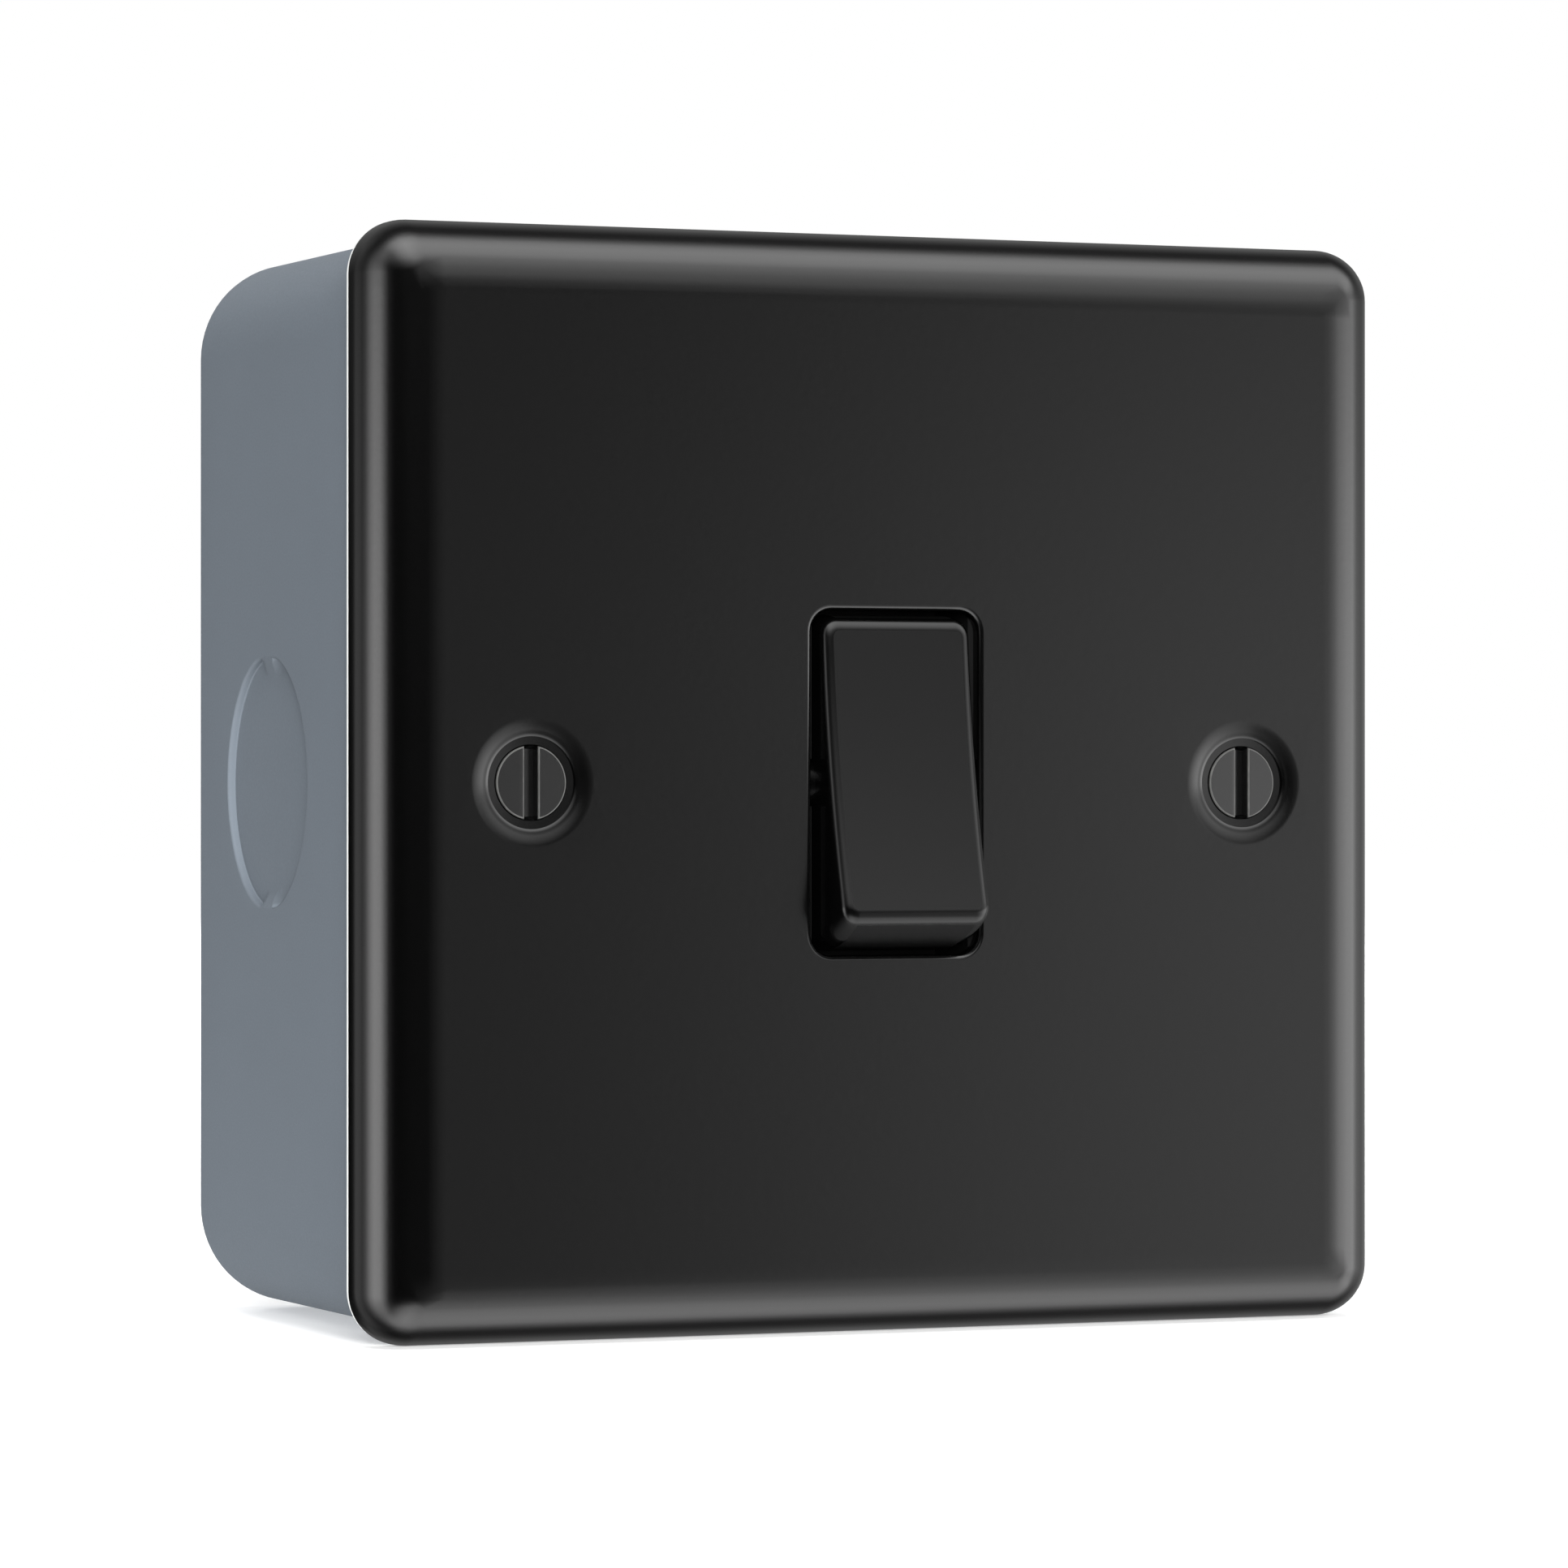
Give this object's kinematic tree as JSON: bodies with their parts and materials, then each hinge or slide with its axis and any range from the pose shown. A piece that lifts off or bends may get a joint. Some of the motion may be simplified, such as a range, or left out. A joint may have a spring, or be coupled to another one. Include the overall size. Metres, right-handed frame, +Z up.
{
  "type": "surface mounted light switch",
  "caption": "Single rocker light switch: black pressed metal plate with rolled edges on a grey surface box with knockouts, switch module and terminals inside.",
  "frame": {"origin": "centre of the box's wall face", "axes": "+Z up, +Y out of the back towards the wall, -Y out of the front, +X to the right seen from the front"},
  "size_m": [0.086, 0.0509, 0.086],
  "materials": {
    "box_paint": "satin blue-grey powder coat",
    "plate_paint": "matt black powder coat",
    "black_screw": "black coated steel",
    "gasket_plastic": "thin off-white plastic",
    "rocker_plastic": "fine matt black moulding",
    "housing_plastic": "black moulding",
    "base_plastic": "cream moulding",
    "plunger_plastic": "natural nylon",
    "spring_steel": "bright spring wire",
    "plated_steel": "zinc plated",
    "terminal_brass": "plain brass",
    "contact_copper": "copper alloy strip",
    "contact_silver": "silver faced contact tip"
  },
  "bodies": {
    "root": {"surface_box": "box_paint", "fixing_lug_left": "plated_steel", "fixing_lug_right": "plated_steel", "box_earth_stud": "plated_steel", "box_earth_terminal": "terminal_brass", "box_earth_screw": "terminal_brass", "plate_gasket": "gasket_plastic", "face_plate": "plate_paint", "plate_screw_left": "black_screw", "plate_screw_right": "black_screw", "plate_earth_stud": "plated_steel", "plate_earth_terminal": "terminal_brass", "plate_earth_screw": "terminal_brass", "module_stud_left": "plated_steel", "module_stud_right": "plated_steel", "module_nut_left": "plated_steel", "module_nut_right": "plated_steel", "module_housing": "housing_plastic", "module_base": "base_plastic", "upper_base_screw": "plated_steel", "lower_base_screw": "plated_steel", "common_terminal": "terminal_brass", "upper_way_terminal": "terminal_brass", "lower_way_terminal": "terminal_brass", "common_terminal_screw": "terminal_brass", "upper_terminal_screw": "terminal_brass", "lower_terminal_screw": "terminal_brass", "upper_fixed_tip": "contact_silver", "lower_fixed_tip": "contact_silver"},
    "rocker": {"rocker": "rocker_plastic", "plunger_spring": "spring_steel"},
    "plunger": {"plunger": "plunger_plastic"},
    "moving_contact": {"moving_contact": "contact_copper", "upper_moving_tip": "contact_silver", "lower_moving_tip": "contact_silver"}
  },
  "joints": [
    {"name": "rocker_tilt", "type": "hinge", "parent": "root", "child": "rocker", "pos_m": [0, -0.04325, 0], "axis": [1, 0, 0], "range_deg": [0, 21.2]},
    {"name": "contact_tilt", "type": "hinge", "parent": "root", "child": "moving_contact", "pos_m": [0, -0.0315, 0], "axis": [1, 0, 0], "range_deg": [-16, 0]},
    {"name": "plunger_slide", "type": "slide", "parent": "rocker", "child": "plunger", "axis": [0, -0.9829, 0.184], "range_m": [0, 0.001], "stiffness_N_per_m": 800, "springref_m": -0.002, "deforming": ["plunger_spring"]}
  ],
  "couplings": [
    {"joint": "contact_tilt", "follows": "rocker_tilt", "ratio": -0.7547}
  ]
}
